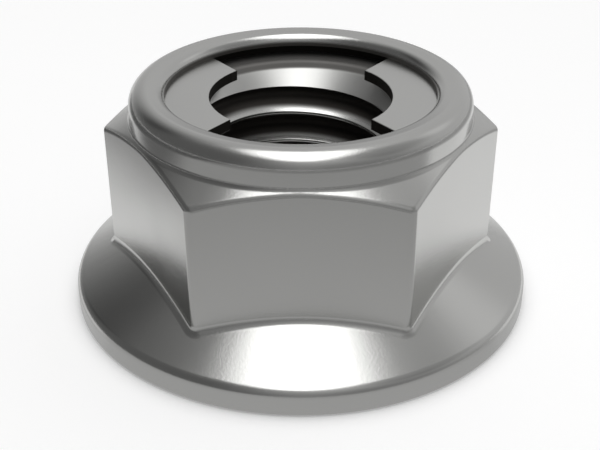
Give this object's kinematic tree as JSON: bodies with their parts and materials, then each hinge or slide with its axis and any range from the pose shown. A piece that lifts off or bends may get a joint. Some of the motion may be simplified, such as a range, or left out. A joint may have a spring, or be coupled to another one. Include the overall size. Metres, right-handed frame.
{
  "type": "hexagon flange lock nut",
  "caption": "Hexagon nut on a round flange, with a rolled collar that holds a spring steel insert whose two tabs press on the bolt and lock it.",
  "frame": {"origin": "centre of the bearing face, on the thread's axis", "axes": "+Z along the thread's axis from the bearing face to the collar; two flats face -Y and +Y; the insert's tabs lie on -X and +X"},
  "size_m": [0.0178, 0.0178, 0.0085],
  "materials": {
    "forged_steel": "smooth satin, neutral grey, as forged and plated",
    "spring_steel": "smooth satin, a little lighter than the body"
  },
  "bodies": {
    "root": {"nut_body": "forged_steel", "locking_insert": "spring_steel"}
  },
  "joints": []
}
